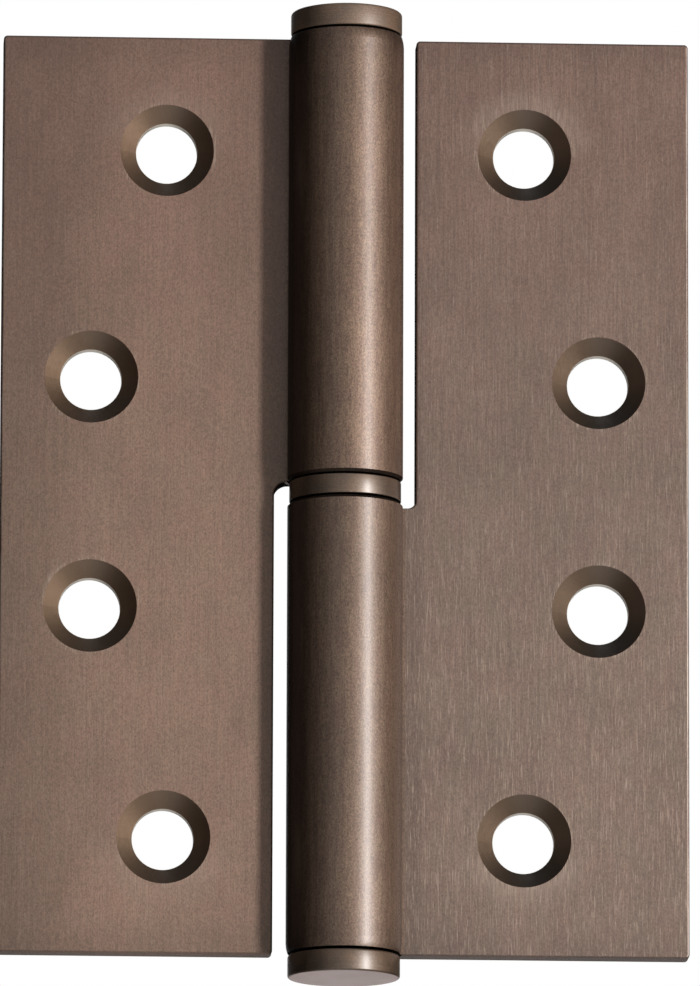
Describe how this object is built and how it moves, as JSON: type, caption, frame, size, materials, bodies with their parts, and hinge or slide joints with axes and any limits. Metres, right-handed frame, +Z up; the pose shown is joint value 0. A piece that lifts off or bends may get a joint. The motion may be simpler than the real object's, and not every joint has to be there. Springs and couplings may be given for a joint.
{
  "type": "lift-off hinge",
  "caption": "Bronzed brass lift-off hinge: flat leaves with countersunk screw holes, split barrel with washer and button caps; the door leaf turns on the pin and lifts off it.",
  "frame": {"origin": "on the pin's axis, half way up the leaves, with the leaves opened flat", "axes": "+Z up along the pin, the way the door leaf lifts off; -Y out of the countersunk faces; the frame leaf at +X and the door leaf at -X"},
  "size_m": [0.074, 0.0124, 0.1054],
  "materials": {
    "bronzed_leaf": "brushed and chemically bronzed, satin",
    "bronzed_turning": "turned and chemically bronzed, satin",
    "pin_steel": "ground bright, lightly oiled"
  },
  "bodies": {
    "frame_leaf": {"frame_leaf": "bronzed_leaf", "hinge_pin": "pin_steel", "lower_cap": "bronzed_turning"},
    "washer": {"thrust_washer": "bronzed_turning"},
    "door_leaf": {"door_leaf": "bronzed_leaf", "upper_cap": "bronzed_turning"}
  },
  "joints": [
    {"name": "swing", "type": "hinge", "parent": "frame_leaf", "child": "washer", "pos_m": [0, 0, 0], "axis": [0, 0, 1], "range_deg": [-120, 180]},
    {"name": "lift_off", "type": "slide", "parent": "washer", "child": "door_leaf", "axis": [0, 0, 1], "range_m": [0, 0.045]}
  ]
}
